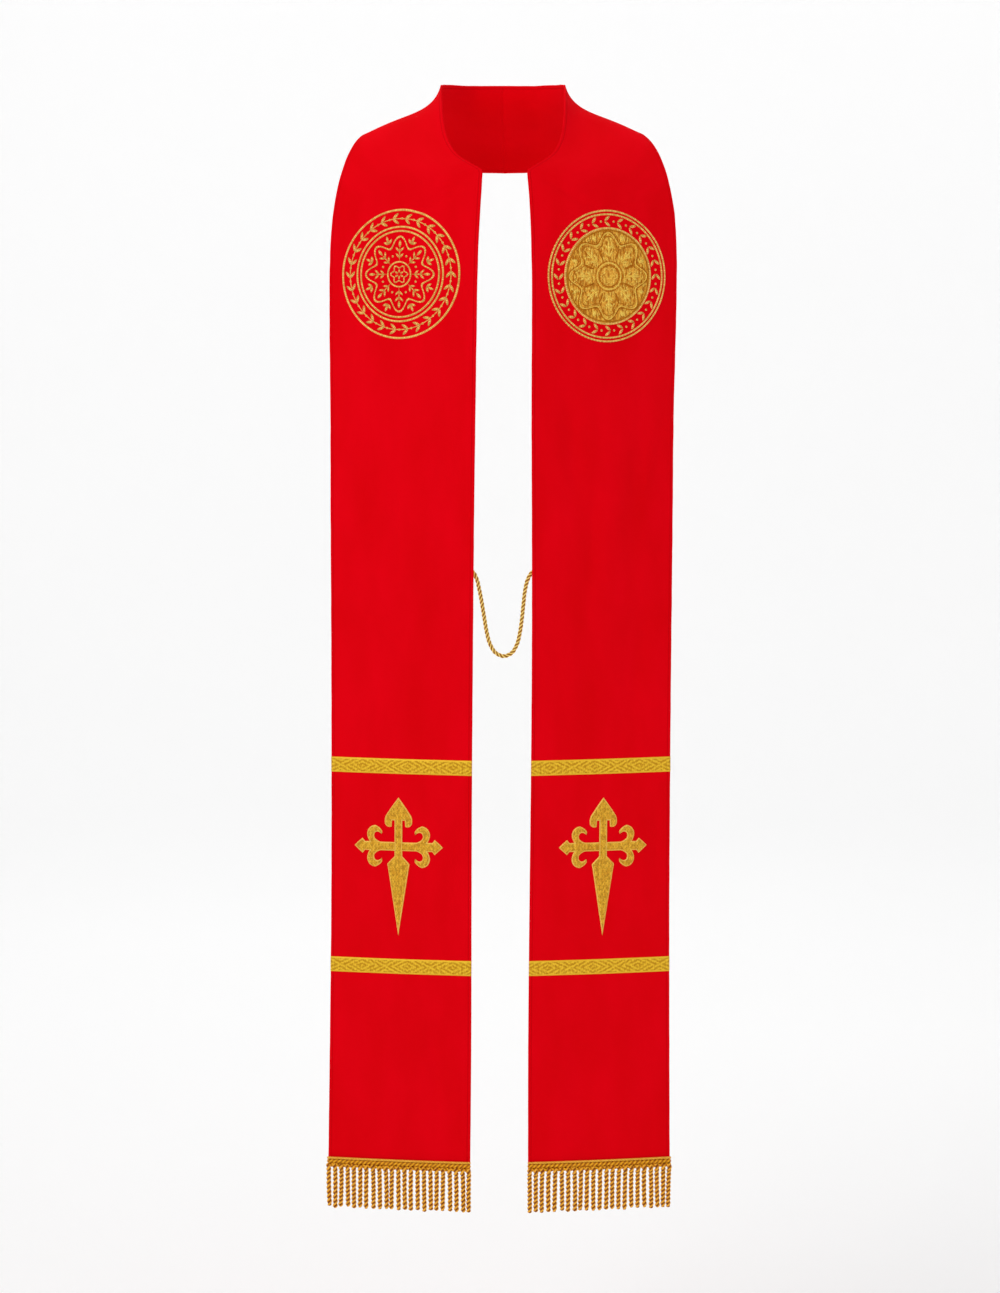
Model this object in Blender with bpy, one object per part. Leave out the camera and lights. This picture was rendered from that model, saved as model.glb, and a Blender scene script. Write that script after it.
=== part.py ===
"""A clerical stole, hanging open as it is worn round the neck.

Two shaped bands meet at the centre back seam, stand up round the neck, lie over the shoulders
and hang plumb down the front. Each front carries a round embroidered medallion, a sword cross
between two galloons, and a bullion fringe at its hem. A twisted cord links the fronts.

Sizes are in millimetres and are turned to metres when a mesh is made. The origin is the middle
of the neck opening, on the level where the bands lie on the shoulders. +Z is up and the fronts
face -Y, so the wearer's left is at +X.
"""

import math
import random
from collections import namedtuple

import bmesh
import bpy
from mathutils import Vector

MM = 0.001

# Cloth and trimmings
CLOTH = 2.0  # two layers of cloth with a stiff interlining
SEAM_GAP = 0.3  # between neighbouring pieces
GALLOON_TALL = 16.4
GALLOON_THICK = 0.8
GALLOON_LEVELS = {"upper": -690.8, "lower": -909.5}  # middle of each galloon
EMBROIDERY = 0.8  # padded satin stitch stands this far off the cloth
HEADING_TALL = 11.4
HEADING_THICK = 3.0
HEADING_SPARE = 1.2  # the heading runs past each edge of the cloth
HEADING_DIP = 1.0  # the heading's lower side stays within this of its lowest point
FRINGE_BOTTOM = -1180.5
STRANDS = 23
STRAND_SHARE = 0.66  # of the pitch from one strand to the next
STRAND_PIECES = (0.5, 0.5)  # a strand's divisions along its length
STRAND_DRIFT = ((-0.7, 0.7), (-0.8, 0.5))  # how far the foot of a strand may stray, in X and Y
STRAND_SHORT = 2.2  # the shortest strand ends this far above the longest
CORD_DIAMETER = 4.0

# How finely the bands are divided
CELLS_ACROSS = 10
STEP_NECK = 17.0
STEP_CHEST = 24.0
STEP_HANG = 40.0
CHEST_ENDS = -300.0
CREASE_ANGLE = math.radians(35)  # sharper edges than this are shaded sharp

# The cut of one band, laid round a general neck and over general shoulders. Each section runs
# from the neck edge, or the inner front edge, to the outer edge. The hollow is how far the cloth
# falls in where it turns from standing to lying, and the crown is how far it rounds outwards.
Section = namedtuple("Section", "place inner outer hollow crown")
SECTIONS = [
    Section("back seam", (0.0, 69.0, 47.0), (0.0, 117.0, -47.0), 8.5, 0.0),
    Section("back", (34.0, 60.0, 46.5), (51.0, 113.5, -45.0), 8.5, 0.0),
    Section("back of neck", (57.0, 36.0, 46.0), (96.0, 95.5, -36.5), 8.8, 0.0),
    Section("side of neck", (66.0, 16.0, 45.0), (130.0, 63.5, -23.0), 9.0, 0.0),
    Section("shoulder ridge", (68.0, -1.0, 41.0), (149.0, 26.0, -10.5), 8.8, 0.0),
    Section("shoulder front", (67.2, -18.0, 26.0), (152.5, 5.0, -9.5), 7.4, 0.5),
    Section("collarbone", (65.3, -34.0, 4.0), (161.5, -10.0, -18.5), 6.0, 1.5),
    Section("neck front", (61.0, -49.0, -16.0), (169.2, -20.0, -32.5), 4.5, 3.0),
    Section("neck curve", (50.5, -65.0, -33.5), (176.0, -28.0, -51.5), 2.5, 4.5),
    Section("neck curve end", (36.6, -77.0, -43.3), (180.4, -35.0, -69.5), 1.0, 5.5),
    Section("neck corner", (23.8, -85.0, -51.0), (183.4, -39.5, -86.0), 0.0, 6.0),
    Section("upper chest", (26.1, -99.5, -84.0), (186.0, -43.5, -110.0), 0.0, 6.5),
    Section("chest", (27.9, -111.0, -120.0), (187.4, -46.5, -134.0), 0.0, 7.0),
    Section("medallion", (29.1, -116.5, -163.0), (187.8, -50.5, -166.0), 0.0, 7.0),
    Section("under medallion", (29.6, -119.5, -225.0), (187.2, -58.0, -225.0), 0.0, 6.5),
    Section("waist", (30.0, -121.2, -300.0), (185.8, -65.0, -300.0), 0.0, 5.5),
    Section("below waist", (31.0, -122.2, -420.0), (185.2, -73.5, -420.0), 0.0, 4.0),
    Section("cord", (31.7, -122.5, -560.0), (184.4, -81.5, -560.0), 0.0, 3.0),
    Section("upper galloon", (31.8, -122.5, -700.0), (184.0, -88.0, -700.0), 0.0, 2.5),
    Section("cross", (31.3, -122.5, -850.0), (184.2, -93.0, -850.0), 0.0, 2.5),
    Section("under cross", (30.9, -122.5, -1000.0), (185.6, -96.5, -1000.0), 0.0, 2.0),
    Section("hem", (31.5, -122.5, -1134.4), (187.2, -98.0, -1134.4), 0.0, 2.0),
]
CORNER = "neck corner"
NECK_TOP = 47.0
HOLLOW_PEAK = 9.48  # brings the hollow's curve, s(1 - s)^3, to its stated depth
SHOULDER = 4  # this many sections above the corner, the cloth starts to go down in front
HALVINGS = 24  # enough to find a level on the cloth to a thousandth of a millimetre
REACH = 1.0  # the run of the cloth is taken over this far each way
NORMAL_STEP = 0.6
NORMAL_SHARE = 0.01

# Both fronts swing a little towards the wearer's right on their way down, the inner edges and
# the outer ones not quite alike.
Swing = namedtuple("Swing", "level inner outer")
SWINGS = [
    Swing(-1134.4, -4.2, -4.3),
    Swing(-850.0, -2.7, -2.9),
    Swing(-560.0, -0.6, -1.8),
    Swing(-300.0, 0.6, -0.9),
    Swing(-160.0, 1.8, 0.3),
    Swing(-51.0, 2.0, 1.0),
    Swing(0.0, 0.6, 0.4),
]

# Soft waves in the cloth: each runs straight from one place to another, given as a level below
# the shoulders and a share of the width, and fades out at its ends and to its sides.
Wave = namedtuple("Wave", "side top top_share foot foot_share wide high")
WAVES = [
    Wave(-1, -52.0, 0.05, -120.0, 0.60, 34.0, -2.2),
    Wave(-1, -235.0, 0.30, -560.0, 0.42, 60.0, 2.4),
    Wave(-1, -250.0, 0.78, -470.0, 0.62, 46.0, -2.6),
    Wave(-1, -480.0, 0.14, -660.0, 0.30, 44.0, -2.0),
    Wave(-1, -930.0, 0.60, -1120.0, 0.50, 60.0, 2.2),
    Wave(1, -52.0, 0.05, -105.0, 0.50, 30.0, -1.8),
    Wave(1, -245.0, 0.62, -620.0, 0.50, 56.0, 2.6),
    Wave(1, -260.0, 0.22, -440.0, 0.34, 42.0, -2.4),
    Wave(1, -500.0, 0.80, -660.0, 0.70, 48.0, -2.2),
    Wave(1, -940.0, 0.30, -1120.0, 0.42, 56.0, -2.0),
]

# Medallions: a ring has a radius to the middle of its stitching, and waves where it has petals.
MEDALLION_LEVELS = {-1: -162.8, 1: -165.0}
MEDALLION_SHARE = 0.505  # of the band's width, from the inner edge
RING_STEPS = 44
Ring = namedtuple("Ring", "name radius wide petals depth")
RINGS = {
    -1: [
        Ring("outer_ring", 67.6, 2.2, 0, 0.0),
        Ring("inner_ring", 49.8, 2.0, 0, 0.0),
        Ring("second_ring", 45.4, 2.0, 0, 0.0),
        Ring("petal_ring", 34.0, 2.2, 8, 5.5),
    ],
    1: [
        Ring("outer_ring", 69.0, 2.0, 0, 0.0),
        Ring("second_ring", 65.2, 2.0, 0, 0.0),
        Ring("inner_ring", 50.4, 2.2, 0, 0.0),
    ],
}
STAR_PETALS = 8
STAR_RADIUS = 40.0
STAR_DEPTH = 5.5
STAR_BANDS = (0.38, 0.72, 1.0)  # shares of the radius where the star's mesh is divided

# Sword cross, right half, from its head to the tip of its blade, round the crossing of its arms.
# The bow is how far an arc to the next point stands out from the straight line.
Turn = namedtuple("Turn", "across down bow")
CROSS_HEAD = [
    Turn(0.0, -53.5, 0.2),
    Turn(12.8, -35.4, 0.4),
    Turn(15.1, -29.8, 0.3),
    Turn(14.7, -24.0, 1.6),
    Turn(7.5, -21.6, 0.0),
    Turn(7.1, -28.4, 0.0),
    Turn(4.3, -28.4, 0.0),
]
CROSS_ARM = [
    Turn(4.3, -4.7, 0.0),
    Turn(19.6, -4.7, -0.6),
    Turn(26.3, -8.6, -0.7),
    Turn(26.4, -14.0, -0.6),
    Turn(22.6, -15.6, -0.3),
    Turn(18.6, -13.0, 0.3),
    Turn(18.2, -17.0, 0.8),
    Turn(26.0, -22.8, 2.2),
    Turn(34.8, -14.4, 0.9),
    Turn(32.0, -5.0, 0.0),
    Turn(37.2, -4.8, 0.0),
    Turn(40.0, -8.2, 0.3),
]
CROSS_TIP = 49.0
CROSS_BLADE = [
    Turn(4.3, 10.6, 0.0),
    Turn(11.6, 18.2, 0.5),
    Turn(11.9, 21.4, 0.0),
    Turn(0.0, 97.6, 0.0),
]
ARC_PIECES = 3
CROSS_LEVEL = -778.1
CROSS_SHARE = 0.515
CROSS_CELL = 16.0  # the cross bends with the cloth along lines this far apart
CELL_START = 0.03  # as a share of a cell, so that no line runs through a point of the outline

# Link cord: its ends are sewn behind the inner edges, and it sags between them.
CORD_ROUTE = [
    (-40.5, -116.05, -475.5),
    (-36.0, -117.05, -476.9),
    (-31.6, -117.95, -480.0),
    (-28.4, -118.35, -486.0),
    (-25.4, -118.5, -498.0),
    (-22.4, -118.5, -514.0),
    (-19.8, -118.5, -530.0),
    (-17.2, -118.5, -545.0),
    (-13.6, -118.5, -557.5),
    (-7.6, -118.5, -566.4),
    (0.8, -118.5, -569.8),
    (9.0, -118.5, -566.6),
    (14.6, -118.5, -558.0),
    (18.0, -118.5, -545.0),
    (20.2, -118.5, -530.0),
    (21.9, -118.5, -514.0),
    (23.8, -118.5, -498.0),
    (26.6, -118.35, -487.0),
    (30.2, -118.05, -480.6),
    (34.6, -117.15, -477.2),
    (39.0, -116.35, -475.6),
]
CORD_STEP = 9.0

# Plain colours of the pieces: base colour, roughness and metallic value
FINISHES = {
    "red cloth": ((0.70, 0.0, 0.012), 0.85, 0.0),
    "gold braid": ((0.72, 0.42, 0.03), 0.45, 0.4),
    "gold embroidery": ((0.62, 0.34, 0.02), 0.5, 0.3),
    "gold bullion": ((0.58, 0.30, 0.02), 0.45, 0.4),
    "gold cord": ((0.60, 0.32, 0.03), 0.5, 0.4),
}


def clear_scene():
    for old in list(bpy.data.objects):
        bpy.data.objects.remove(old, do_unlink=True)


def slopes(knots, values):
    """The slope into and out of each knot: the same one, but at the ends."""
    steps = [(b - a) / (t - s) for s, t, a, b in zip(knots, knots[1:], values, values[1:])]
    found = [steps[0]]
    for k in range(1, len(knots) - 1):
        before = knots[k] - knots[k - 1]
        after = knots[k + 1] - knots[k]
        found.append((steps[k - 1] * after + steps[k] * before) / (before + after))
    return found + [steps[-1]]


def curve_through(knots, values, at, corner=None):
    """A smooth curve through the values, which may turn sharply at one knot."""
    if corner is not None and len(knots) > 2:
        part = slice(0, corner + 1) if at <= knots[corner] else slice(corner, None)
        return curve_through(knots[part], values[part], at)
    k = max(i for i in range(len(knots) - 1) if i == 0 or knots[i] <= at)
    tangent = slopes(knots, values)
    step = knots[k + 1] - knots[k]
    t = (at - knots[k]) / step
    here = values[k] * (2 * t**3 - 3 * t**2 + 1) + values[k + 1] * (3 * t**2 - 2 * t**3)
    bend = tangent[k] * (t**3 - 2 * t**2 + t) + tangent[k + 1] * (t**3 - t**2)
    return here + bend * step


class Band:
    """The show face of one band. A place on it is a distance along its middle and a share across."""

    def __init__(self, side):
        self.side = side
        self.waves = [w for w in WAVES if w.side == side]
        self.inner = [Vector(s.inner) for s in SECTIONS]
        self.outer = [Vector(s.outer) for s in SECTIONS]
        self.knots = [0.0]
        middles = [(a + b) / 2 for a, b in zip(self.inner, self.outer)]
        for a, b in zip(middles, middles[1:]):
            self.knots.append(self.knots[-1] + (b - a).length)
        self.corner = [s.place for s in SECTIONS].index(CORNER)
        self.length = self.knots[-1]

    def edges(self, along):
        """The neck edge and the outer edge, and how the cloth lies between them."""
        inner, outer = Vector(), Vector()
        for k in range(3):
            inner[k] = curve_through(self.knots, [p[k] for p in self.inner], along, self.corner)
            outer[k] = curve_through(self.knots, [p[k] for p in self.outer], along)
        hollow = curve_through(self.knots, [s.hollow for s in SECTIONS], along)
        crown = curve_through(self.knots, [s.crown for s in SECTIONS], along)
        return inner, outer, hollow, crown

    def width(self, along):
        inner, outer, _, _ = self.edges(along)
        return (outer - inner).length

    def along_at(self, level, share=0.5):
        """The distance along at which the cloth is at a level, in front."""
        low, high = self.knots[self.corner - SHOULDER], self.length
        for _ in range(HALVINGS):
            middle = (low + high) / 2
            inner, outer, _, _ = self.edges(middle)
            if inner.lerp(outer, share).z > level:
                low = middle
            else:
                high = middle
        return (low + high) / 2

    def wave_height(self, level, share, width):
        high = 0.0
        for w in self.waves:
            down = (w.top - level) / (w.top - w.foot)
            if 0.0 < down < 1.0:
                line = w.top_share + (w.foot_share - w.top_share) * down
                away = abs(share - line) * width / (w.wide / 2)
                if away < 1.0:
                    high += w.high * math.sin(math.pi * down) * math.cos(away * math.pi / 2) ** 2
        return high

    def swing(self, level, share):
        levels = [s.level for s in SWINGS]
        at = min(level, levels[-1])
        inner = curve_through(levels, [s.inner for s in SWINGS], at)
        outer = curve_through(levels, [s.outer for s in SWINGS], at)
        fade = min(1.0, max(0.0, 1.0 - level / NECK_TOP))
        return (inner + (outer - inner) * share) * fade

    def point(self, along, share):
        inner, outer, hollow, crown = self.edges(along)
        chord = outer - inner
        ahead = self.edges(min(along + REACH, self.length))
        behind = self.edges(max(along - REACH, 0.0))
        run = ahead[0].lerp(ahead[1], 0.5) - behind[0].lerp(behind[1], 0.5)
        if along < REACH:
            run = Vector((1.0, 0.0, 0.0))
        out = run.cross(chord).normalized()
        level = inner.z + chord.z * share
        inside = min(max(share, 0.0), 1.0)
        rise = crown * 4 * inside * (1 - inside) - hollow * HOLLOW_PEAK * inside * (1 - inside) ** 3
        if along > self.knots[self.corner]:
            rise += self.wave_height(level, inside, chord.length)
        place = inner + chord * share + out * rise
        return Vector((self.side * (place.x + SEAM_GAP / 2) + self.swing(level, share), place.y, place.z))

    def normal(self, along, share):
        """The way out of the cloth, away from the wearer."""
        before, after = max(along - NORMAL_STEP, 0.0), min(along + NORMAL_STEP, self.length)
        if before < self.knots[self.corner] < after:
            before, after = (before, along) if along <= self.knots[self.corner] else (along, after)
        run = self.point(after, share) - self.point(before, share)
        across = self.point(along, share + NORMAL_SHARE) - self.point(along, share - NORMAL_SHARE)
        found = run.cross(across).normalized() * self.side
        if along == 0.0:
            found.x = 0.0
        return found.normalized()

    def lifted(self, along, share, lift):
        return self.point(along, share) + self.normal(along, share) * lift


def finish(name):
    """The plain material of one kind of piece."""
    old = bpy.data.materials.get(name)
    if old:
        return old
    colour, roughness, metallic = FINISHES[name]
    made = bpy.data.materials.new(name)
    made.use_nodes = True
    shader = made.node_tree.nodes["Principled BSDF"]
    shader.inputs["Base Color"].default_value = (*colour, 1.0)
    shader.inputs["Roughness"].default_value = roughness
    shader.inputs["Metallic"].default_value = metallic
    return made


def add_piece(name, bm, finish_name):
    """Turns a bmesh in millimetres into an object in metres, with its faces out."""
    bmesh.ops.scale(bm, vec=Vector((MM, MM, MM)), verts=bm.verts)
    bmesh.ops.recalc_face_normals(bm, faces=bm.faces)
    mesh = bpy.data.meshes.new(name)
    bm.to_mesh(mesh)
    bm.free()
    mesh.materials.append(finish(finish_name))
    mesh.shade_smooth()
    mesh.set_sharp_from_angle(angle=CREASE_ANGLE)
    made = bpy.data.objects.new(name, mesh)
    bpy.context.scene.collection.objects.link(made)
    return made


def lay(bm, band, place_of, lift, thick):
    """Puts each point of a flat design at its place on the band, then gives it its thickness."""
    mark = bm.verts.layers.int.new("mark")
    places = [place_of(v.co) for v in bm.verts]
    for k, v in enumerate(bm.verts):
        v[mark] = k
        v.co = band.lifted(*places[k], lift)
    grown = bmesh.ops.extrude_face_region(bm, geom=bm.faces[:], use_keep_orig=True)
    for v in grown["geom"]:
        if isinstance(v, bmesh.types.BMVert):
            v.co += band.normal(*places[v[mark]]) * thick


def along_rows(band):
    """The distances along at which a band has a row of points: closer where it bends."""
    rows = [0.0]
    for k in range(len(SECTIONS) - 1):
        level = SECTIONS[k + 1].inner[2]
        step = STEP_NECK if k < band.corner else STEP_CHEST if level >= CHEST_ENDS else STEP_HANG
        start, end = band.knots[k], band.knots[k + 1]
        pieces = max(1, round((end - start) / step))
        rows += [start + (end - start) * (i + 1) / pieces for i in range(pieces)]
    return rows


def add_band(name, band):
    """One half of the stole: a grid laid on the band's form, with the cloth's thickness inwards."""
    rows = along_rows(band)
    last = len(rows) - 1
    bm = bmesh.new()
    bmesh.ops.create_grid(bm, x_segments=CELLS_ACROSS, y_segments=last, size=1.0)
    lay(bm, band, lambda co: (rows[round((co.y + 1) / 2 * last)], (co.x + 1) / 2), 0.0, -CLOTH)
    return add_piece(name, bm, "red cloth")


def lay_design(bm, band, level, share):
    """Lays a flat design on the band, centred on a place; its x runs outwards and its y down."""
    width = band.width(band.along_at(level))

    def place_of(co):
        here = share + co.x / width
        return band.along_at(level - co.y, here), here

    lay(bm, band, place_of, SEAM_GAP, EMBROIDERY)


def add_galloon(name, band, level):
    """A woven braid across the whole width, divided where the band is."""
    middle = band.along_at(level)
    bm = bmesh.new()
    bmesh.ops.create_grid(bm, x_segments=CELLS_ACROSS, y_segments=1, size=1.0)
    lay(
        bm,
        band,
        lambda co: (middle + co.y * GALLOON_TALL / 2, (co.x + 1) / 2),
        SEAM_GAP,
        GALLOON_THICK,
    )
    return add_piece(name, bm, "gold braid")


def petal_radius(radius, petals, depth, angle):
    return radius + depth * math.cos(petals * angle) if petals else radius


def add_ring(name, band, ring):
    """A ring of padded stitching, round or in petals."""
    bm = bmesh.new()
    for offset in (-ring.wide / 2, ring.wide / 2):
        loop = bmesh.ops.create_circle(bm, segments=RING_STEPS, radius=1.0)["verts"]
        for v in loop:
            angle = math.atan2(v.co.y, v.co.x)
            radius = petal_radius(ring.radius, ring.petals, ring.depth, angle) + offset
            v.co *= radius
    bmesh.ops.bridge_loops(bm, edges=list(bm.edges))
    lay_design(bm, band, MEDALLION_LEVELS[band.side], MEDALLION_SHARE)
    return add_piece(name, bm, "gold embroidery")


def add_star(name, band):
    """The filled petal star in the middle of a medallion."""
    bm = bmesh.new()
    inside = None
    for share in STAR_BANDS:
        capped = share == STAR_BANDS[0]
        loop = bmesh.ops.create_circle(bm, segments=RING_STEPS, radius=1.0, cap_ends=capped)["verts"]
        for v in loop:
            angle = math.atan2(v.co.y, v.co.x)
            v.co *= share * petal_radius(STAR_RADIUS, STAR_PETALS, STAR_DEPTH * share, angle)
        edges = [e for e in bm.edges if all(v in loop for v in e.verts)]
        if inside:
            bmesh.ops.bridge_loops(bm, edges=inside + edges)
        inside = edges
    lay_design(bm, band, MEDALLION_LEVELS[band.side], MEDALLION_SHARE)
    return add_piece(name, bm, "gold embroidery")


def bowed(start, end, bow):
    """The points of an arc from start, without its end."""
    points = [Vector((start.across, start.down))]
    if bow:
        a, b = points[0], Vector((end.across, end.down))
        side = Vector((b.y - a.y, a.x - b.x)).normalized()
        for i in range(1, ARC_PIECES):
            t = i / ARC_PIECES
            points.append(a.lerp(b, t) + side * bow * 4 * t * (1 - t))
    return points


def cross_outline():
    """The whole outline of the sword cross, clockwise from its head."""
    tip = Turn(CROSS_TIP, 0.0, 0.0)
    under = [Turn(t.across, -t.down, 0.0) for t in CROSS_ARM[::-1]]
    under_bows = [t.bow for t in CROSS_ARM[:-1][::-1]] + [0.0]
    under = [Turn(t.across, t.down, bow) for t, bow in zip(under, under_bows)]
    turns = CROSS_HEAD + CROSS_ARM + [tip] + under + CROSS_BLADE
    half = []
    for start, end in zip(turns, turns[1:]):
        half += bowed(start, end, start.bow)
    foot = Vector((turns[-1].across, turns[-1].down))
    other = [Vector((-p.x, p.y)) for p in half[:0:-1]]
    return half + [foot] + other


def add_cross(name, band):
    """The sword cross of padded satin stitch, which bends with the cloth."""
    bm = bmesh.new()
    bm.faces.new([bm.verts.new((p.x, p.y, 0.0)) for p in cross_outline()])
    for axis in (0, 1):
        values = [v.co[axis] for v in bm.verts]
        first = math.ceil(min(values) / CROSS_CELL)
        last = math.floor(max(values) / CROSS_CELL)
        for k in range(first, last + 1):
            place, way = Vector(), Vector()
            place[axis], way[axis] = (k + CELL_START) * CROSS_CELL, 1.0
            whole = bm.verts[:] + bm.edges[:] + bm.faces[:]
            bmesh.ops.bisect_plane(bm, geom=whole, plane_co=place, plane_no=way)
    lay_design(bm, band, CROSS_LEVEL, CROSS_SHARE)
    return add_piece(name, bm, "gold embroidery")


def add_fringe(name, band, seed):
    """A braid heading over the hem, with bullion strands drawn down from every second cell."""
    chance = random.Random(seed)
    bm = bmesh.new()
    cells = 2 * STRANDS - 1
    bmesh.ops.create_grid(bm, x_segments=cells, y_segments=1, size=1.0)
    width = band.width(band.length) + 2 * HEADING_SPARE
    strand = width / STRANDS * STRAND_SHARE
    gap = (width - strand * STRANDS) / (STRANDS - 1)
    hem = band.length

    def place_of(co):
        column = round((co.x + 1) / 2 * cells)
        across = (column // 2) * (strand + gap) + (strand if column % 2 else 0.0) - HEADING_SPARE
        return hem - (HEADING_TALL if co.y < 0 else SEAM_GAP), across / band.width(hem)

    lay(bm, band, place_of, SEAM_GAP, HEADING_THICK)
    bmesh.ops.recalc_face_normals(bm, faces=bm.faces)
    low = min(v.co.z for v in bm.verts)
    under = [f for f in bm.faces if all(v.co.z < low + HEADING_DIP for v in f.verts)]
    under.sort(key=lambda f: f.calc_center_median().x)
    for face in under[::2]:
        drift = Vector([chance.uniform(*reach) for reach in STRAND_DRIFT] + [0.0])
        long = low - FRINGE_BOTTOM - chance.uniform(0.0, STRAND_SHORT)
        for share in STRAND_PIECES:
            grown = bmesh.ops.extrude_discrete_faces(bm, faces=[face])["faces"][0]
            bmesh.ops.translate(bm, verts=grown.verts, vec=Vector((0.0, 0.0, -long * share)) + drift * share)
            face = grown
    return add_piece(name, bm, "gold bullion")


def smooth_route(points, step):
    """Points a step apart along a smooth curve through a cord's route."""
    route = [Vector(p) for p in points]
    knots = [0.0]
    for a, b in zip(route, route[1:]):
        knots.append(knots[-1] + (b - a).length)
    count = round(knots[-1] / step)
    found = []
    for i in range(count + 1):
        at = knots[-1] * i / count
        found.append(Vector([curve_through(knots, [p[k] for p in route], at) for k in range(3)]))
    return found


def add_link_cord(name):
    curve = bpy.data.curves.new(name, "CURVE")
    curve.dimensions = "3D"
    curve.bevel_depth = CORD_DIAMETER / 2 * MM
    curve.bevel_resolution = 2
    curve.use_fill_caps = True
    points = smooth_route(CORD_ROUTE, CORD_STEP)
    spline = curve.splines.new("POLY")
    spline.points.add(len(points) - 1)
    for target, p in zip(spline.points, points):
        target.co = (*(p * MM), 1.0)
    curve.materials.append(finish("gold cord"))
    made = bpy.data.objects.new(name, curve)
    bpy.context.scene.collection.objects.link(made)
    return made


def build():
    clear_scene()
    for side, word in ((-1, "right"), (1, "left")):
        band = Band(side)
        add_band(f"band_{word}", band)
        for place, level in GALLOON_LEVELS.items():
            add_galloon(f"galloon_{word}_{place}", band, level)
        for ring in RINGS[side]:
            add_ring(f"medallion_{word}_{ring.name}", band, ring)
        add_cross(f"cross_{word}", band)
        add_fringe(f"fringe_{word}", band, seed=7 + side)
    add_star("medallion_left_star", Band(1))
    add_link_cord("link_cord")


build()
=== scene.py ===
"""A clerical stole as it is worn: red cloth, gold embroidery, woven galloons and bullion fringes.

Every length is in millimetres until a mesh is made, which turns it to metres. +Z is up, the
fronts face -Y and the wearer's left is at +X, so the band named right is at the picture's left.
"""

import math
import random
from collections import namedtuple

import bmesh
import bpy
import numpy as np
from mathutils import Matrix, Vector


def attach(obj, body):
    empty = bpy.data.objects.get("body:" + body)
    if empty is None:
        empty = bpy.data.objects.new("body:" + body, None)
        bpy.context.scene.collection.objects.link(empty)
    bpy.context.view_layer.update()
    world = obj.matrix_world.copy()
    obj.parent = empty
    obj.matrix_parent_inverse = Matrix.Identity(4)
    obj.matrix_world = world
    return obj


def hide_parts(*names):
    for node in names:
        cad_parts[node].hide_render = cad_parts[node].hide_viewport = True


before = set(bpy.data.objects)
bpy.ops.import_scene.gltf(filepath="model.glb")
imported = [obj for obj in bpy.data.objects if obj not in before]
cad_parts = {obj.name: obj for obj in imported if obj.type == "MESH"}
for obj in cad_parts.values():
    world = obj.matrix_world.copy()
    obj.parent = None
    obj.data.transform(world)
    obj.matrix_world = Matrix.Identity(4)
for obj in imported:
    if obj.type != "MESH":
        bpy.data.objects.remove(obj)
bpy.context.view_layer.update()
MM = 0.001

# Camera, as the photograph was taken
CAMERA_PLACE = (-3.2, -3710.0, -189.5)
CAMERA_DOWN = math.radians(5.88)
CAMERA_LENS = 93.67  # on a frame 36 mm tall

# Studio: a round white room, open above
FLOOR_LEVEL = -1500.0
ROOM_RADIUS = 6500.0
ROOM_TOP = 3600.0
COVE_RADIUS = 1800.0
COVE_STEPS = 12
Lamp = namedtuple("Lamp", "name place aim size power")
LAMPS = [
    Lamp("key", (-1.6, -2.0, 1.7), (0.0, 0.0, -0.2), 1.8, 37.0),
    Lamp("fill", (2.2, -2.8, 0.9), (0.0, 0.0, -0.4), 2.4, 11.0),
    Lamp("paper", (0.0, 1.6, 3.4), (0.0, 5.6, -0.6), 2.4, 114.0),
]
SKY_STRENGTH = 0.40

# Cloth and trimmings
CLOTH = 2.0
GALLOON_TALL = 16.4
GALLOON_LEVELS = {"upper": -690.8, "lower": -909.5}
GALLOON_EDGE = 0.35  # the selvedges stand this far off the cloth
GALLOON_RISE = 0.7  # and the middle this much further
FIGURE_START = 8.0
EMBROIDERY = 0.85
SUNK = 0.12  # stitching pulls this far into the cloth
HEADING_SPARE = 1.2  # the heading runs past each edge of the cloth
HEADING_LIFT = 1.9  # from the cloth to the middle of the heading's cords
FRINGE_BOTTOM = -1180.5
STRANDS = 23
STRAND_SHARE = 0.66  # of the pitch from one strand to the next
STRAND_RADIUS = 2.75
STRAND_ROOT = 4.4  # above the hem
STRAND_LIFT = 1.6
STRAND_DRIFT = ((-0.9, 0.9), (-0.8, 0.5))  # how far a foot may stray, in X and Y
STRAND_SHORT = 2.2  # the shortest strand ends this far above the longest
STRAND_SWAY = 0.5
STRAND_TURN = (9.0, 10.4)  # shortest and longest turn of a strand's two plies
STRAND_STEPS = 95
END_LEANS = {0: 0.9, 1: -0.9, 5: 0.8, 6: -0.8, 20: 0.9, 22: -0.9}  # bring some feet together
LOOP_SHARE = 0.16  # of a strand, which passes over the heading's lowest cord
LOOP_OUT = 1.7
Rope = namedtuple("Rope", "up radius pitch hand finish")
HEADING_ROPES = [
    Rope(10.1, 1.45, 6.0, 1, 2),
    Rope(6.5, 2.45, 9.6, -1, 1),
    Rope(2.3, 2.3, 8.8, 1, 1),
]
SEAM_GAP = 0.3
SEAM_TUCK = 0.1  # the halves press against each other at the centre back seam

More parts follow.
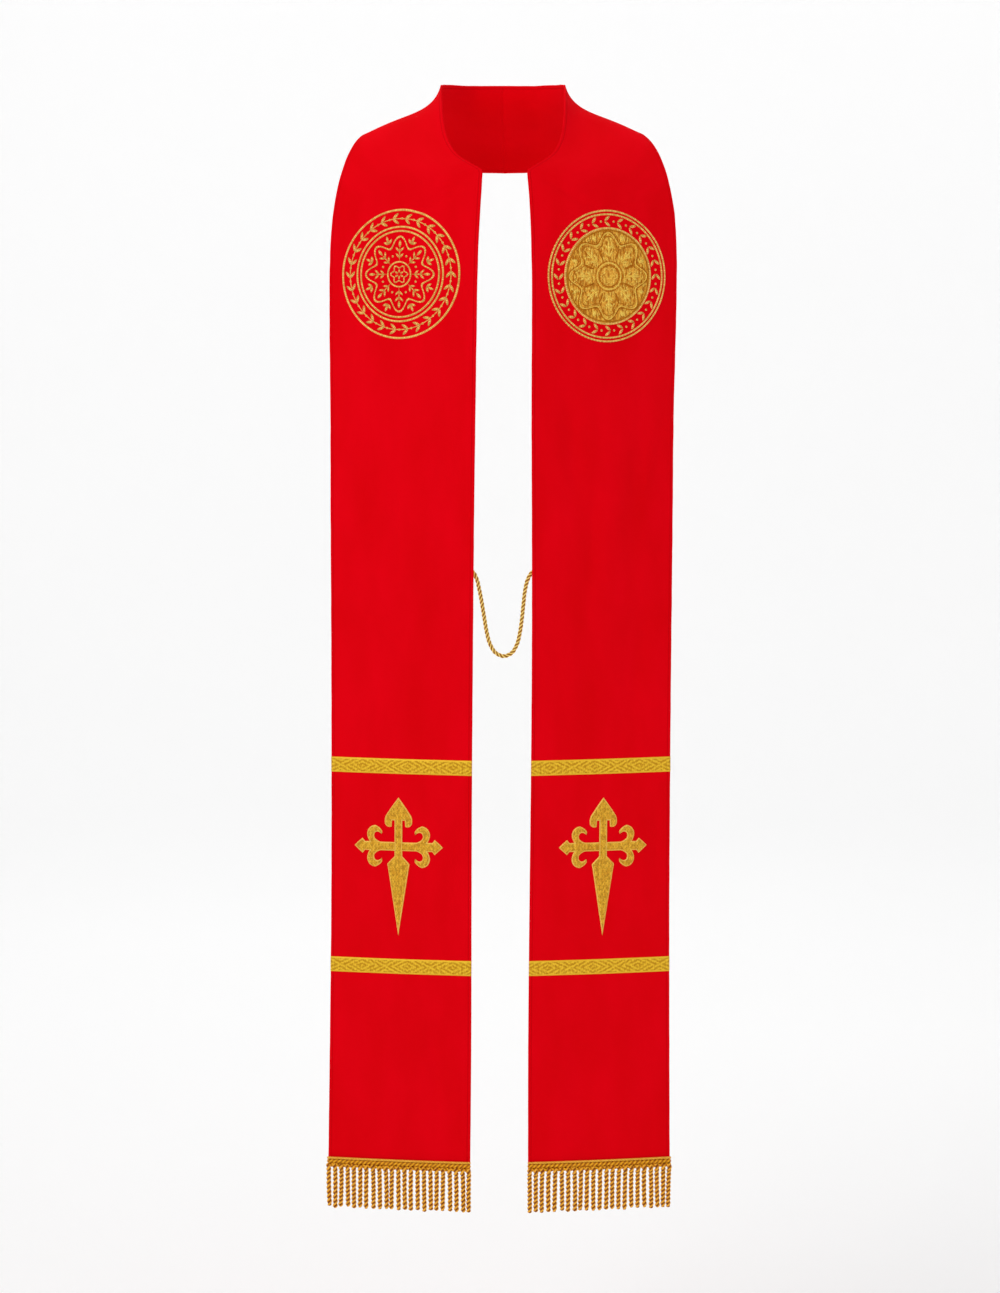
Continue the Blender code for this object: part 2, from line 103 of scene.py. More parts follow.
# One band, laid round a general neck and over general shoulders: sections from the neck edge, or
# the inner front edge, to the outer edge.
Section = namedtuple("Section", "place inner outer hollow crown")
SECTIONS = [
    Section("back seam", (0, 69, 47), (0, 117, -47), 8.5, 0),
    Section("back", (34, 60, 46.5), (51, 113.5, -45), 8.5, 0),
    Section("back of neck", (57, 36, 46), (96, 95.5, -36.5), 8.8, 0),
    Section("side of neck", (66, 16, 45), (130, 63.5, -23), 9, 0),
    Section("shoulder ridge", (68, -1, 41), (149, 26, -10.5), 8.8, 0),
    Section("shoulder front", (67.2, -18, 26), (152.5, 5, -9.5), 7.4, 0.5),
    Section("collarbone", (65.3, -34, 4), (161.5, -10, -18.5), 6, 1.5),
    Section("neck front", (61, -49, -16), (169.2, -20, -32.5), 4.5, 3),
    Section("neck curve", (50.5, -65, -33.5), (176, -28, -51.5), 2.5, 4.5),
    Section("neck curve end", (36.6, -77, -43.3), (180.4, -35, -69.5), 1, 5.5),
    Section("neck corner", (23.8, -85, -51), (183.4, -39.5, -86), 0, 6),
    Section("upper chest", (26.1, -99.5, -84), (186, -43.5, -110), 0, 6.5),
    Section("chest", (27.9, -111, -120), (187.4, -46.5, -134), 0, 7),
    Section("medallion", (29.1, -116.5, -163), (187.8, -50.5, -166), 0, 7),
    Section("under medallion", (29.6, -119.5, -225), (187.2, -58, -225), 0, 6.5),
    Section("waist", (30, -121.2, -300), (185.8, -65, -300), 0, 5.5),
    Section("below waist", (31, -122.2, -420), (185.2, -73.5, -420), 0, 4),
    Section("cord", (31.7, -122.5, -560), (184.4, -81.5, -560), 0, 3),
    Section("upper galloon", (31.8, -122.5, -700), (184, -88, -700), 0, 2.5),
    Section("cross", (31.3, -122.5, -850), (184.2, -93, -850), 0, 2.5),
    Section("under cross", (30.9, -122.5, -1000), (185.6, -96.5, -1000), 0, 2),
    Section("hem", (31.5, -122.5, -1134.4), (187.2, -98, -1134.4), 0, 2),
]
CORNER = "neck corner"
FALLS_FROM = "collarbone"  # the cloth only falls from here on, so it meets each level once
NECK_TOP = 47.0
HOLLOW_PEAK = 9.48  # brings the hollow's curve to its stated depth

Swing = namedtuple("Swing", "level inner outer")
SWINGS = [
    Swing(-1134.4, -4.2, -4.3), Swing(-850, -2.7, -2.9), Swing(-560, -0.6, -1.8),
    Swing(-300, 0.6, -0.9), Swing(-160, 1.8, 0.3), Swing(-51, 2, 1), Swing(0, 0.6, 0.4),
]

# Soft waves that the cloth hangs in, and finer creases of its handling and its stitching
Wave = namedtuple("Wave", "side top top_share foot foot_share wide high")
WAVES = [
    Wave(-1, -52, 0.05, -120, 0.60, 34, -2.2),
    Wave(-1, -235, 0.30, -560, 0.42, 60, 2.4),
    Wave(-1, -250, 0.78, -470, 0.62, 46, -2.6),
    Wave(-1, -480, 0.14, -660, 0.30, 44, -2),
    Wave(-1, -930, 0.60, -1120, 0.50, 60, 2.2),
    Wave(1, -52, 0.05, -105, 0.50, 30, -1.8),
    Wave(1, -245, 0.62, -620, 0.50, 56, 2.6),
    Wave(1, -260, 0.22, -440, 0.34, 42, -2.4),
    Wave(1, -500, 0.80, -660, 0.70, 48, -2.2),
    Wave(1, -940, 0.30, -1120, 0.42, 56, -2),
    Wave(-1, -58, 0.16, -104, 0.50, 16, 1.05),
    Wave(-1, -300, 0.12, -420, 0.20, 22, 0.9),
    Wave(-1, -330, 0.55, -500, 0.50, 26, -1.2),
    Wave(-1, -540, 0.62, -672, 0.70, 28, 1.05),
    Wave(-1, -720, 0.10, -880, 0.14, 20, -0.75),
    Wave(-1, -960, 0.28, -1100, 0.22, 30, -1.05),
    Wave(1, -60, 0.14, -98, 0.44, 15, 0.9),
    Wave(1, -290, 0.86, -430, 0.78, 24, 0.9),
    Wave(1, -350, 0.44, -520, 0.40, 28, -1.05),
    Wave(1, -530, 0.24, -668, 0.30, 26, 1.2),
    Wave(1, -720, 0.90, -880, 0.86, 22, -0.75),
    Wave(1, -970, 0.66, -1110, 0.72, 32, 1.05),
]
# Puckers along the edges, where the seam draws the cloth in: length of a wave, height and start
Pucker = namedtuple("Pucker", "long high start")
PUCKERS = [Pucker(61.0, 0.16, 0.3), Pucker(37.0, 0.12, 1.9), Pucker(23.0, 0.07, 4.1)]
PUCKER_WIDE = 9.0
EDGE_LINE = 3.2  # the pressed edge shows as a line this far in
EDGE_SOFT = 0.9
EDGE_ROUND = 0.9

# How finely the bands are read and divided
BAND_COLUMNS = 46
BAND_STEP = 3.6
TOWARDS_EDGES = 0.62  # how much the columns crowd towards the edges
FINE_STEP = 0.5
HALVINGS = 24
LOOK_ALONG = 0.6  # the way out of the cloth is measured over this length
LOOK_ACROSS = 0.01  # and this share of the width

# Medallions
MEDALLION_LEVELS = {-1: -162.8, 1: -165.0}
MEDALLION_SHARE = 0.505
RING_STEPS = 200
Ring = namedtuple("Ring", "name radius wide petals depth")
RINGS = {
    -1: [
        Ring("outer_ring", 67.6, 2.2, 0, 0),
        Ring("inner_ring", 49.8, 2, 0, 0),
        Ring("second_ring", 45.4, 2, 0, 0),
        Ring("petal_ring", 34, 2.2, 8, 5.5),
    ],
    1: [
        Ring("outer_ring", 69, 2, 0, 0),
        Ring("second_ring", 65.2, 2, 0, 0),
        Ring("inner_ring", 50.4, 2.2, 0, 0),
    ],
}
STAR_PETALS = 8
STAR_RADIUS = 40.0
STAR_DEPTH = 5.5
GROUND_HIGH = 0.6
STAR_RISE = 0.65  # of its middle, over its edge
FLECKS = 230
FLECKS_REACH = 46.0

# Leaves that stand on rays round a medallion's middle: from where on the ray, and leaning how far
Leaf = namedtuple("Leaf", "root lean long wide high rim", defaults=(EMBROIDERY, EMBROIDERY / 4))
FLOWER_SPRIG = [
    Leaf(28.25, 0, 7.5, 3), Leaf(14, 0, 15, 1.1), Leaf(17.5, -0.75, 6.4, 2.1),
    Leaf(17.5, 0.75, 6.4, 2.1), Leaf(23.5, -0.75, 7.2, 2.1), Leaf(23.5, 0.75, 7.2, 2.1),
]
FLOWER_TUFT = [
    Leaf(34, -0.9, 6.4, 2.6), Leaf(34.8, 0, 8, 2.6), Leaf(34, 0.9, 6.4, 2.6),
    Leaf(19.2, 0, 2.6, 2.6),
]
FLOWER_SEED = [Leaf(1.3, 0.0, 4.2, 2.0)]
STAR_VEINS = [
    Leaf(19, 0, 20, 2.6, 1.9, 1.15),
    Leaf(20, -0.6, 8.5, 2.2, 1.8, 1.15),
    Leaf(20, 0.6, 8.5, 2.2, 1.8, 1.15),
    Leaf(27, -0.6, 8, 2.2, 1.8, 1.15),
    Leaf(27, 0.6, 8, 2.2, 1.8, 1.15),
]
STAR_POINT = [Leaf(38.3, 0.0, 8.0, 4.4, 1.2, 0.5)]
STAR_GROOVE = [Leaf(19.0, 0.0, 12.0, 2.6, 1.6, 1.1)]
Wreath = namedtuple("Wreath", "radius count lean long")
WREATHS = {
    -1: Wreath(58.6, 26, math.radians(38), 9),
    1: Wreath(57.8, 24, math.radians(-38), 8.4),
}
WREATH_APART = 2.9  # from the wreath's line to the middle of each leaf
WREATH_LEAF = 3.0
WREATH_BUD = 2.6

# Sword cross, right half, from its head to the tip of its blade, round the crossing of its arms
Turn = namedtuple("Turn", "across down bow")
CROSS_HEAD = [
    Turn(0, -53.5, 0.2), Turn(12.8, -35.4, 0.4), Turn(15.1, -29.8, 0.3), Turn(14.7, -24, 1.6),
    Turn(7.5, -21.6, 0), Turn(7.1, -28.4, 0), Turn(4.3, -28.4, 0),
]
CROSS_ARM = [
    Turn(4.3, -4.7, 0), Turn(19.6, -4.7, -0.6), Turn(26.3, -8.6, -0.7), Turn(26.4, -14, -0.6),
    Turn(22.6, -15.6, -0.3), Turn(18.6, -13, 0.3), Turn(18.2, -17, 0.8), Turn(26, -22.8, 2.2),
    Turn(34.8, -14.4, 0.9), Turn(32, -5, 0), Turn(37.2, -4.8, 0), Turn(40, -8.2, 0.3),
]
CROSS_TIP = 49.0
CROSS_BLADE = [
    Turn(4.3, 10.6, 0), Turn(11.6, 18.2, 0.5), Turn(11.9, 21.4, 0), Turn(0, 97.6, 0),
]
ARC_PIECES = 5
CROSS_LEVEL = -778.1
CROSS_SHARE = 0.515
CROSS_CELL = 4.0
CELL_START = 0.03  # keeps the cuts between cells off the outline's own corners
FILL_HIGH = 1.0
RIM_HIGH = 0.4
OUTLINE = 1.1  # width of the stitched outline
STEM_LINE = 1.2  # width of the lines where the stem crosses the arms
STEM_OUT = 3.5
STEM_TOP = -28.4
STEM_LONG = 39.0
STEM_HIGH = (0.9, 1.3)  # at its sides and its middle

# Link cord
CORD_ROUTE = [
    (-40.5, -116.05, -475.5), (-36, -117.05, -476.9), (-31.6, -117.95, -480),
    (-28.4, -118.35, -486), (-25.4, -118.5, -498), (-22.4, -118.5, -514), (-19.8, -118.5, -530),
    (-17.2, -118.5, -545), (-13.6, -118.5, -557.5), (-7.6, -118.5, -566.4), (0.8, -118.5, -569.8),
    (9, -118.5, -566.6), (14.6, -118.5, -558), (18, -118.5, -545), (20.2, -118.5, -530),
    (21.9, -118.5, -514), (23.8, -118.5, -498), (26.6, -118.35, -487), (30.2, -118.05, -480.6),
    (34.6, -117.15, -477.2), (39, -116.35, -475.6),
]
CORD_DIAMETER = 4.0
CORD_TURN = 14.0  # length of one turn of its three plies
CORD_FULLNESS = 1.16  # the plies reach out to the cord's diameter only at their tops


def curve_through(knots, values, at):
    """A smooth curve through the values, or through each column of them, read at many places."""
    gaps = np.diff(knots)
    rows = values.T
    steps = np.diff(rows) / gaps
    middle = (steps[..., :-1] * gaps[1:] + steps[..., 1:] * gaps[:-1]) / (gaps[:-1] + gaps[1:])
    slope = np.concatenate([steps[..., :1], middle, steps[..., -1:]], axis=-1)
    k = np.clip(np.searchsorted(knots, at, side="right") - 1, 0, len(gaps) - 1)
    t = (at - knots[k]) / gaps[k]
    here = rows[..., k] * (2 * t**3 - 3 * t**2 + 1) + rows[..., k + 1] * (3 * t**2 - 2 * t**3)
    bend = slope[..., k] * (t**3 - 2 * t**2 + t) + slope[..., k + 1] * (t**3 - t**2)
    return (here + gaps[k] * bend).T


def unit(vectors):
    return vectors / np.linalg.norm(vectors, axis=-1, keepdims=True)


def distances(points):
    """How far along a path each of its points is."""
    return np.concatenate([[0.0], np.cumsum(np.linalg.norm(np.diff(points, axis=0), axis=1))])


class Band:
    """The show face of one band. Places on it are distances along its middle and shares across."""

    def __init__(self, side):
        self.side = side
        self.waves = [w for w in WAVES if w.side == side]
        places, *columns = zip(*SECTIONS)
        inner, outer, hollow, crown = map(np.array, columns)
        knots = distances((inner + outer) / 2)
        turn = places.index(CORNER)
        self.corner = knots[turn]
        self.falls_from = knots[places.index(FALLS_FROM)]
        self.length = knots[-1]
        self.fine = np.unique(np.concatenate([np.arange(0.0, self.length, FINE_STEP), knots]))
        above = self.fine <= self.corner
        upper = curve_through(knots[: turn + 1], inner[: turn + 1], self.fine[above])
        lower = curve_through(knots[turn:], inner[turn:], self.fine[~above])
        self.inner = np.concatenate([upper, lower])
        self.outer = curve_through(knots, outer, self.fine)
        self.hollow = curve_through(knots, hollow, self.fine)
        self.crown = curve_through(knots, crown, self.fine)
        run = np.gradient((self.inner + self.outer) / 2, self.fine, axis=0)
        run[self.fine < 2 * FINE_STEP] = (1.0, 0.0, 0.0)  # the halves meet square at the seam
        self.out = unit(np.cross(run, self.outer - self.inner))
        self.widths = np.linalg.norm(self.outer - self.inner, axis=1)

    def read(self, table, along):
        """A table of the band's form, read between its rows."""
        if table.ndim == 1:
            return np.interp(along, self.fine, table)
        return np.stack([np.interp(along, self.fine, table[:, k]) for k in range(3)], axis=-1)

    def width(self, along):
        return self.read(self.widths, along)

    def along_at(self, level, share):
        """The distance along at which the cloth is at a level, in front."""
        low, high = self.falls_from, self.length
        for _ in range(HALVINGS):
            middle = (low + high) / 2
            inner = self.read(self.inner[:, 2], middle)
            found = inner + (self.read(self.outer[:, 2], middle) - inner) * share
            low = np.where(found > level, middle, low)
            high = np.where(found > level, high, middle)
        return (low + high) / 2

    def wave_height(self, level, share, width):
        high = np.zeros_like(level)
        for w in self.waves:
            down = (w.top - level) / (w.top - w.foot)
            line = w.top_share + (w.foot_share - w.top_share) * down
            away = np.abs(share - line) * width / (w.wide / 2)
            inside = (down > 0.0) & (down < 1.0) & (away < 1.0)
            fade = np.sin(np.pi * np.clip(down, 0, 1)) * np.cos(np.clip(away, 0, 1) * np.pi / 2) ** 2
            high += np.where(inside, w.high * fade, 0.0)
        return high

    def pucker_height(self, along, share, width):
        """The small unevenness along both edges."""
        high = np.zeros_like(along)
        for edge, to_edge in enumerate((share * width, (1 - share) * width)):
            near = np.clip(1 - to_edge / PUCKER_WIDE, 0.0, 1.0)
            for p in PUCKERS:
                turn = 2 * np.pi * along / p.long + p.start + edge * 2.3 + self.side
                high += near * p.high * np.sin(turn)
        return high

    def swing(self, level, share):
        levels, *edges = np.array(SWINGS).T
        at = np.minimum(level, levels[-1])
        inner, outer = (curve_through(levels, edge, at.T) for edge in edges)
        return (inner + (outer - inner) * share) * np.clip(1.0 - level / NECK_TOP, 0.0, 1.0)

    def point(self, along, share):
        inner, outer = self.read(self.inner, along), self.read(self.outer, along)
        chord = outer - inner
        level = inner[..., 2] + chord[..., 2] * share
        inside = np.clip(share, 0.0, 1.0)
        hollow = self.read(self.hollow, along) * HOLLOW_PEAK * inside * (1 - inside) ** 3
        rise = self.read(self.crown, along) * 4 * inside * (1 - inside) - hollow
        width = self.width(along)
        rise = rise + np.where(along > self.corner, self.wave_height(level, inside, width), 0.0)
        rise = rise + self.pucker_height(along, inside, width)
        place = inner + chord * share[..., None] + self.read(self.out, along) * rise[..., None]
        beside = np.where(along < 0.5, -SEAM_TUCK, SEAM_GAP / 2)
        place[..., 0] = self.side * (place[..., 0] + beside) + self.swing(level, share)
        return place

    def normal(self, along, share):
        """The way out of the cloth, away from the wearer."""
        before = np.maximum(along - LOOK_ALONG, 0.0)
        after = np.minimum(along + LOOK_ALONG, self.length)
        cut = (before < self.corner) & (after > self.corner)
        after = np.where(cut & (along <= self.corner), along, after)
        before = np.where(cut & (along > self.corner), along, before)
        run = self.point(after, share) - self.point(before, share)
        across = self.point(along, share + LOOK_ACROSS) - self.point(along, share - LOOK_ACROSS)
        found = np.cross(run, across) * self.side
        found[..., 0] = np.where(along <= 0.0, 0.0, found[..., 0])
        return unit(found)

    def lifted(self, along, share, lift):
        return self.point(along, share) + self.normal(along, share) * np.asarray(lift)[..., None]


def linear(hex_colour):
    """An sRGB hex colour as the linear values that a shader takes."""
    values = [int(hex_colour[k : k + 2], 16) / 255 for k in (1, 3, 5)]
    return (*(v / 12.92 if v <= 0.04045 else ((v + 0.055) / 1.055) ** 2.4 for v in values), 1.0)


def feed(tree, node, inputs):
    """Links each input given as a node or a socket; sets any other, with hex colours made linear."""
    for key, value in inputs.items():
        if isinstance(value, bpy.types.Node):
            value = value.outputs[0]
        if isinstance(value, bpy.types.NodeSocket):
            tree.links.new(value, node.inputs[key])
        else:
            node.inputs[key].default_value = linear(value) if isinstance(value, str) else value


def add(tree, kind, inputs=None, **settings):
    made = tree.nodes.new("ShaderNode" + kind)
    for key, value in settings.items():
        setattr(made, key, value)
    feed(tree, made, inputs or {})
    return made


def new_material(name, **constants):
    """A material with its node tree and its shader, whose constant values are set on their sockets."""
    made = bpy.data.materials.new(name)
    made.use_nodes = True
    shader = made.node_tree.nodes["Principled BSDF"]
    feed(made.node_tree, shader, {key.replace("_", " "): value for key, value in constants.items()})
    return made, made.node_tree, shader


def red_polyester():
    """Matt plain-weave polyester: an even saturated red, soft light at its edges, a fine grain."""
    made, tree, shader = new_material(
        "red_plain_weave_polyester",
        Roughness=0.9,
        Specular_IOR_Level=0.03,
        Sheen_Weight=0.04,
        Sheen_Roughness=0.5,
        Sheen_Tint="#FF2020",
    )
    cloth = add(tree, "UVMap", uv_map="cloth")
    # Threads lie 0.35 mm apart, drawn 0.9 mm apart so that they show
    threads = add(tree, "Mapping", {"Vector": cloth, "Scale": (1 / (0.9 * MM),) * 3})
    split = add(tree, "SeparateXYZ", {"Vector": threads})
    warp = add(tree, "Math", {0: split.outputs["X"], 1: math.tau}, operation="MULTIPLY")
    weft = add(tree, "Math", {0: split.outputs["Y"], 1: math.tau}, operation="MULTIPLY")
    warp = add(tree, "Math", {0: warp}, operation="SINE")
    weft = add(tree, "Math", {0: weft}, operation="SINE")
    weave = add(tree, "Math", {0: warp, 1: weft}, operation="MULTIPLY")
    # Slubs: thicker stretches of yarn, about 1 mm wide and 11 mm long
    slubs = add(tree, "Mapping", {"Vector": cloth, "Scale": (1100.0, 90.0, 1.0)})
    slub = add(tree, "TexNoise", {"Vector": slubs, "Scale": 1.0, "Detail": 3.0})
    height = add(tree, "Math", {0: slub, 1: 0.8, 2: weave}, operation="MULTIPLY_ADD")
    # The pressed edge: a shallow groove beside each edge of the cloth, with painted shade darkening the
    # red along it
    edge = add(tree, "UVMap", uv_map="edge")
    edge = add(tree, "SeparateXYZ", {"Vector": edge})
    off = add(tree, "Math", {0: edge.outputs["X"], 1: EDGE_LINE * MM}, operation="SUBTRACT")
    off = add(tree, "Math", {0: off}, operation="ABSOLUTE")
    groove = {"Value": off, "From Max": EDGE_SOFT * MM}
    groove = add(tree, "MapRange", groove, interpolation_type="SMOOTHSTEP")
    fine = add(tree, "Bump", {"Height": height, "Strength": 0.35, "Distance": 0.12 * MM})
    pressed = add(tree, "Bump", {"Height": groove, "Strength": 0.6, "Distance": 0.4 * MM, "Normal": fine})
    # Dye takes a little unevenly, in patches longer than they are wide
    patches = add(tree, "Mapping", {"Vector": cloth, "Scale": (26.0, 9.0, 1.0)})
    patch = add(tree, "TexNoise", {"Vector": patches, "Scale": 1.0})
    dye = add(tree, "MapRange", {"Value": patch, "From Min": 0.3, "From Max": 0.7})
    body = add(tree, "Mix", {0: dye, 6: "#E2000C", 7: "#EB0012"}, data_type="RGBA")
    # Painted shade: the red is mixed darker along the groove's line
    groove_shade = add(tree, "Mix", {0: groove, 6: "#D2000B", 7: body.outputs[2]}, data_type="RGBA")
    feed(tree, shader, {"Base Color": groove_shade.outputs[2], "Normal": pressed})
    return made


STITCH_GAP = 0.14  # of a stitch's width
STREAK_WIDE = 2.2


def stitched_gold(name, light, dark, shadow, long, wide, roughness, mottle=0.0, streak=7.7):
    """Metallised thread laid in stitches side by side: flecks of light and dark gold.

    Real stitches lie about 0.4 mm apart; these are coarser, so that they show. Their length and
    width are in millimetres. Mottle is how dark the streaks are, and streak is how long.
    """
    made, tree, shader = new_material(name, Roughness=roughness, Metallic=0.2, Specular_IOR_Level=0.15)
    stitches = add(tree, "UVMap", uv_map="stitch")
    laid = {
        "Vector": stitches,
        "Color1": light,
        "Color2": dark,
        "Mortar": shadow,
        "Scale": 1.0,
        "Mortar Size": STITCH_GAP * wide * MM,
        "Mortar Smooth": 0.6,
        "Bias": -0.2,
        "Brick Width": long * MM,
        "Row Height": wide * MM,
    }
    laid = add(tree, "TexBrick", laid, offset=0.37)
    glints = add(tree, "Mapping", {"Vector": stitches, "Scale": (500.0, 1400.0, 1.0)})
    glint = add(tree, "TexNoise", {"Vector": glints, "Scale": 1.0})
    spark = add(tree, "MapRange", {"Value": glint, "From Min": 0.35, "From Max": 0.75, "To Max": 0.55})
    gold = add(tree, "Mix", {0: spark, 6: laid.outputs["Color"], 7: light}, data_type="RGBA")
    # Bunches of stitches catch the light together, in upright streaks
    upright = add(tree, "TexCoord").outputs["Object"]
    scale = [1 / (size * MM) for size in (STREAK_WIDE, STREAK_WIDE, streak)]
    upright = add(tree, "Mapping", {"Vector": upright, "Scale": scale})
    bunch = add(tree, "TexNoise", {"Vector": upright, "Scale": 1.0, "Detail": 1.0})
    dim = {"Value": bunch, "From Min": 0.36, "From Max": 0.56, "To Min": mottle, "To Max": 0.0}
    dim = add(tree, "MapRange", dim)
    gold = add(tree, "Mix", {0: dim, 6: gold.outputs[2], 7: shadow}, data_type="RGBA")
    ridge = add(tree, "Math", {0: 1.0, 1: laid.outputs["Fac"]}, operation="SUBTRACT")
    bump = add(tree, "Bump", {"Height": ridge, "Strength": 0.6, "Distance": 0.3 * MM})
    feed(tree, shader, {"Base Color": gold.outputs[2], "Normal": bump})
    return made


def twisted_gold(name, light, dark, pitch, fleck_long=1.6, ply_shading=0.42):
    """Bullion: fine gilt wire wound round a core, with a painted highlight on top of each ply and painted
    shade between them.

    Real turns of wire lie about 0.3 mm apart; the pitch here, in millimetres, is coarser.
    """
    made, tree, shader = new_material(name, Roughness=0.42, Metallic=0.2, Specular_IOR_Level=0.2)
    turns = add(tree, "UVMap", uv_map="stitch")
    split = add(tree, "SeparateXYZ", {"Vector": turns})
    wound = {0: split.outputs["Y"], 1: 1 / (pitch * MM), 2: split.outputs["X"]}
    wound = add(tree, "Math", wound, operation="MULTIPLY_ADD")
    wound = add(tree, "Math", {0: wound, 1: math.tau}, operation="MULTIPLY")
    wave = add(tree, "Math", {0: wound}, operation="SINE")
    # The pattern's X counts plies: a whole number is the top of one, a half is between two; its cosine
    # paints the ply tops lighter and the gaps between plies darker
    ply = add(tree, "Math", {0: split.outputs["X"], 1: math.tau}, operation="MULTIPLY")
    ply = add(tree, "Math", {0: ply}, operation="COSINE")
    flecks = add(tree, "TexCoord").outputs["Object"]
    fleck = add(tree, "TexNoise", {"Vector": flecks, "Scale": 1 / (fleck_long * MM)})
    # Painted light and shade: a little lighter on each turn of wire, lighter on each ply's top, darker
    # between plies, with random flecks of tone
    mixed = add(tree, "Math", {0: wave, 1: 0.1, 2: fleck}, operation="MULTIPLY_ADD")
    mixed = add(tree, "Math", {0: ply, 1: ply_shading, 2: mixed}, operation="MULTIPLY_ADD")
    part = add(tree, "MapRange", {"Value": mixed, "From Min": 0.1, "From Max": 0.85})
    gold = add(tree, "Mix", {0: part, 6: dark, 7: light}, data_type="RGBA")
    bump = add(tree, "Bump", {"Height": wave, "Strength": 0.5, "Distance": 0.15 * MM})
    feed(tree, shader, {"Base Color": gold.outputs[2], "Normal": bump})
    return made


def woven_galloon():
    """Two-tone metallised braid: lozenges of bright gold figured on a darker gold ground."""
    name = "woven_two_tone_galloon"
    made, tree, shader = new_material(name, Roughness=0.46, Metallic=0.2, Specular_IOR_Level=0.2)
    place = add(tree, "UVMap", uv_map="stitch")
    split = add(tree, "SeparateXYZ", {"Vector": place})
    # A long lozenge of nested lines, in millimetres; where two meet, their points make a cross
    half_figure, slope, line_step = 25.0, 0.51, 4.25
    run = add(tree, "Math", {0: split.outputs["X"], 1: 1 / MM}, operation="MULTIPLY")
    across = add(tree, "Math", {0: split.outputs["Y"], 1: 1 / MM}, operation="MULTIPLY")
    across = add(tree, "Math", {0: across}, operation="ABSOLUTE")
    from_heart = add(tree, "Math", {0: run, 1: half_figure}, operation="PINGPONG")
    lozenge = add(tree, "Math", {0: from_heart, 1: slope, 2: across}, operation="MULTIPLY_ADD")
    nested = add(tree, "Math", {0: lozenge, 1: math.tau / line_step}, operation="MULTIPLY")
    nested = add(tree, "Math", {0: nested}, operation="COSINE")
    # Selvedges stay plain and bright
    selvedge = add(tree, "MapRange", {"Value": across, "From Min": 6.3, "From Max": 6.9})
    # Threads lie about 0.4 mm apart, drawn 0.8 and 1.1 mm apart so that they show
    scale = (1 / (0.8 * MM), 1 / (1.1 * MM), 1.0)
    threads = add(tree, "Mapping", {"Vector": place, "Scale": scale})
    thread = add(tree, "TexChecker", {"Vector": threads, "Scale": 1.0})
    fleck = add(tree, "TexNoise", {"Vector": threads, "Scale": 0.42})
    figure = add(tree, "Math", {0: nested, 1: 0.13, 2: fleck}, operation="MULTIPLY_ADD")
    figure = add(tree, "Math", {0: figure, 1: selvedge}, operation="MAXIMUM")
    part = {"Value": figure, "From Min": 0.28, "From Max": 0.72}
    part = add(tree, "MapRange", part, interpolation_type="SMOOTHSTEP")
    gold = add(tree, "Mix", {0: part, 6: "#C88C06", 7: "#F8CA30"}, data_type="RGBA")
    height = add(tree, "Math", {0: thread.outputs["Fac"], 1: 0.35, 2: part}, operation="MULTIPLY_ADD")
    bump = add(tree, "Bump", {"Height": height, "Strength": 0.5, "Distance": 0.3 * MM})
    feed(tree, shader, {"Base Color": gold.outputs[2], "Normal": bump})
    return made


def studio_white():
    """Seamless white paper, lit a little from behind."""
    made, tree, shader = new_material(
        "studio_paper",
        Roughness=0.9,
        Specular_IOR_Level=0.1,
        Emission_Color="#FFFFFF",
        Emission_Strength=0.17,
    )
    place = add(tree, "TexCoord").outputs["Object"]
    tone = add(tree, "TexNoise", {"Vector": place, "Scale": 0.6})
    paper = add(tree, "Mix", {0: tone, 6: "#E6E6E6", 7: "#EAEAEA"}, data_type="RGBA")
    feed(tree, shader, {"Base Color": paper.outputs[2]})
    return made


RED = red_polyester()
GALLOON = woven_galloon()
FILL = stitched_gold("gold_fill_stitch", "#FFC83E", "#E09418", "#A06004", 4.0, 1.5, 0.5, 0.5, 3.2)
STAR_FILL = stitched_gold("gold_star_stitch", "#FFCA50", "#F6A030", "#B06202", 3.4, 1.5, 0.5, 0.75)
GROUND = stitched_gold("gold_ground_stitch", "#FFC448", "#EC9424", "#A65A02", 3.4, 1.5, 0.5, 0.75)
SHADE = stitched_gold("gold_shaded_stitch", "#D08010", "#B06404", "#864800", 3.0, 1.2, 0.55)
SATIN = stitched_gold("gold_satin_outline", "#FFCE6E", "#D4903A", "#90520E", 6.0, 1.9, 0.42)
BRIGHT = stitched_gold("gold_bright_outline", "#FFDC66", "#FFC444", "#CC8812", 6.0, 1.6, 0.42)
RIM = stitched_gold("gold_cross_rim", "#FFD868", "#FFC648", "#D89628", 6.0, 1.1, 0.42)
BULLION = twisted_gold("gold_bullion", "#FFB838", "#883A00", 0.9, ply_shading=0.5)
HEADING = twisted_gold("gold_fringe_heading", "#FFBA24", "#B05A00", 0.9, fleck_long=3.0, ply_shading=0.34)
EDGE_CORD = twisted_gold("gold_heading_edge", "#FFCC50", "#DC8C10", 0.9, fleck_long=2.4, ply_shading=0.2)
CORD_GOLD = twisted_gold("gold_twisted_cord", "#FFDC74", "#985404", 0.8, ply_shading=0.6)


def new_bmesh():
    """A bmesh with the layers that every piece here uses."""
    bm = bmesh.new()
    bm.verts.layers.float.new("height")
    bm.loops.layers.uv.new("stitch")
    return bm


def place_in_scene(name, data):
    made = bpy.data.objects.new(name, data)
    bpy.context.scene.collection.objects.link(made)
    return made


def place_mesh(name, bm, materials):
    mesh = bpy.data.meshes.new(name)
    bm.to_mesh(mesh)
    bm.free()
    mesh.shade_smooth()
    for m in materials:
        mesh.materials.append(m)
    return place_in_scene(name, mesh)


def make_piece(name, bm, materials):
    """Turns a bmesh in millimetres into a piece in metres, with its faces out."""
    bmesh.ops.recalc_face_normals(bm, faces=bm.faces)
    bmesh.ops.scale(bm, vec=Vector((MM, MM, MM)), verts=bm.verts)
    made = place_mesh(name, bm, materials)
    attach(made, "root")
    return made


def move_to(verts, places):
    for v, place in zip(verts, places.tolist()):
        v.co = place


